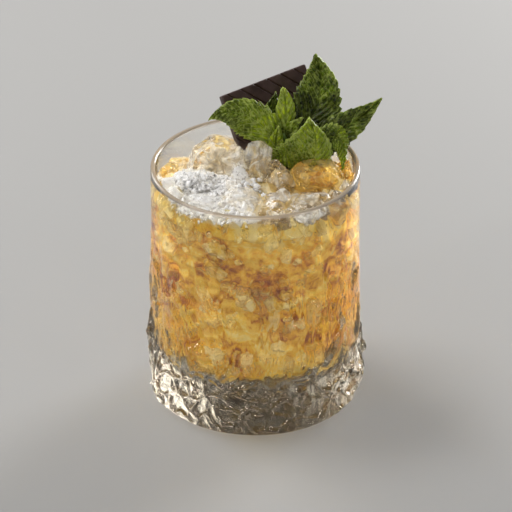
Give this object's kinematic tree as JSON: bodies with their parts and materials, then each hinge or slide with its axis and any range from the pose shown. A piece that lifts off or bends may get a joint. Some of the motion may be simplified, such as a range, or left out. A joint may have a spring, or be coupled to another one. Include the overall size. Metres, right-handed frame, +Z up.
{
  "type": "iced cocktail in a rocks glass",
  "caption": "Amber bourbon and chocolate drink over crushed ice in a rocks glass with an ice-like relief, dressed with mint and a thin piece of dark chocolate.",
  "frame": {"origin": "centre of the glass's underside, on the surface it stands on", "axes": "+Z up along the glass's axis, -Y towards the side seen in the picture, +X to the right in the picture"},
  "size_m": [0.0921, 0.0846, 0.1371],
  "materials": {
    "glass": "clear polished glass, smooth at the rim and rippled lower down",
    "drink": "clear amber liquid packed with crushed ice",
    "ice": "wet, partly frosted ice",
    "chocolate": "satin dark chocolate",
    "mint": "wrinkled, slightly glossy fresh leaf"
  },
  "bodies": {
    "root": {"glass": "glass", "drink": "drink", "ice_heap": "ice", "chocolate": "chocolate", "mint_sprig": "mint"}
  },
  "joints": []
}
